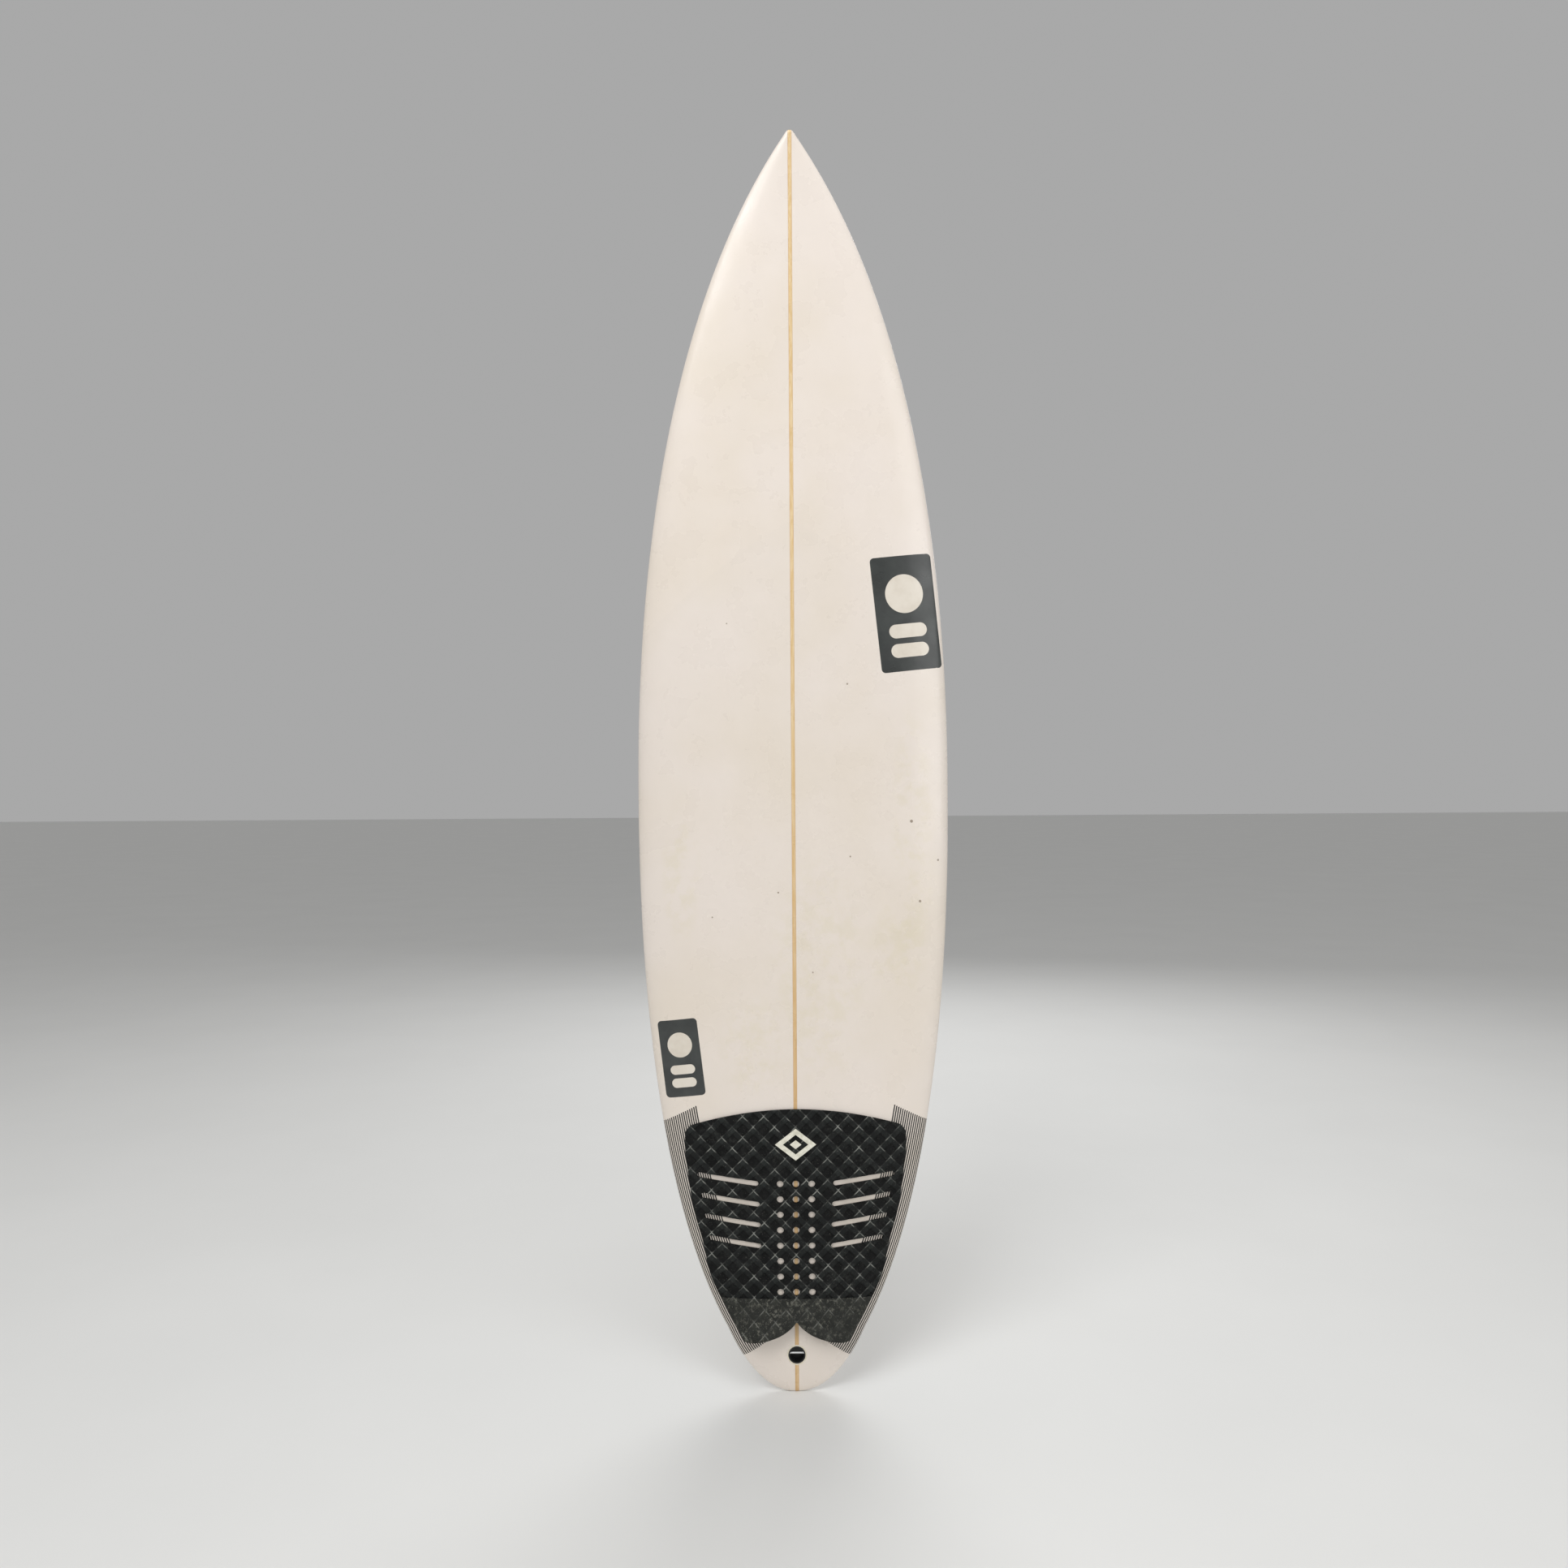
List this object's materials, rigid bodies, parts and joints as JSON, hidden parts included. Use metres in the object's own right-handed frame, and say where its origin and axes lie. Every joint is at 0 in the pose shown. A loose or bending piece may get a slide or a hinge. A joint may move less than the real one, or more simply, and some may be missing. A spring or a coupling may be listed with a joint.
{
  "type": "surfboard",
  "caption": "Pointed-nose shortboard with rounded tail, wooden stringer, striped rail reinforcement, raised-heel traction pad, leash plug and fin boxes.",
  "frame": {"origin": "tail tip's level, on the stringer's plane, midway through the board's overall depth, which the rocker sets", "axes": "+Z from the tail tip to the nose, -Y is the way the deck faces, +X to the right of someone who looks at the deck"},
  "size_m": [0.462, 0.1348, 1.803],
  "materials": {
    "foam": "closed-cell polyurethane foam, shaped and sanded",
    "stringer_wood": "basswood ply, planed flush with the foam",
    "glue": "cured glue line",
    "laminate": "glass cloth in polyester resin, sanded and glossed, slightly yellowed",
    "carbon_stripe": "black carbon tows in the glass cloth, under resin",
    "print_ink": "printed tissue under resin",
    "black_plastic": "moulded ABS",
    "white_plastic": "moulded and sanded polycarbonate",
    "resin": "cast filler resin",
    "steel": "stainless steel",
    "pad_foam": "embossed closed-cell EVA foam, dusty from use",
    "pad_mark": "raised moulded mark"
  },
  "bodies": {
    "root": {"foam_blank_left": "foam", "foam_blank_right": "foam", "stringer": "stringer_wood", "stringer_glue": "glue", "deck_laminate": "laminate", "bottom_laminate": "laminate", "deck_patch": "laminate", "carbon_patch_left": "carbon_stripe", "carbon_patch_right": "carbon_stripe", "decal_large": "print_ink", "decal_small": "print_ink", "leash_plug_cup": "black_plastic", "leash_plug_bar": "steel", "leash_plug_resin": "resin", "fin_box_left": "white_plastic", "fin_box_right": "white_plastic", "fin_box_centre": "white_plastic", "fin_box_resin_left": "resin", "fin_box_resin_right": "resin", "fin_box_resin_centre": "resin", "fin_screw_left": "steel", "fin_screw_right": "steel", "fin_screw_centre": "steel", "pad_adhesive": "glue", "traction_pad": "pad_foam", "pad_kick": "pad_foam", "pad_mark": "pad_mark"}
  },
  "joints": []
}
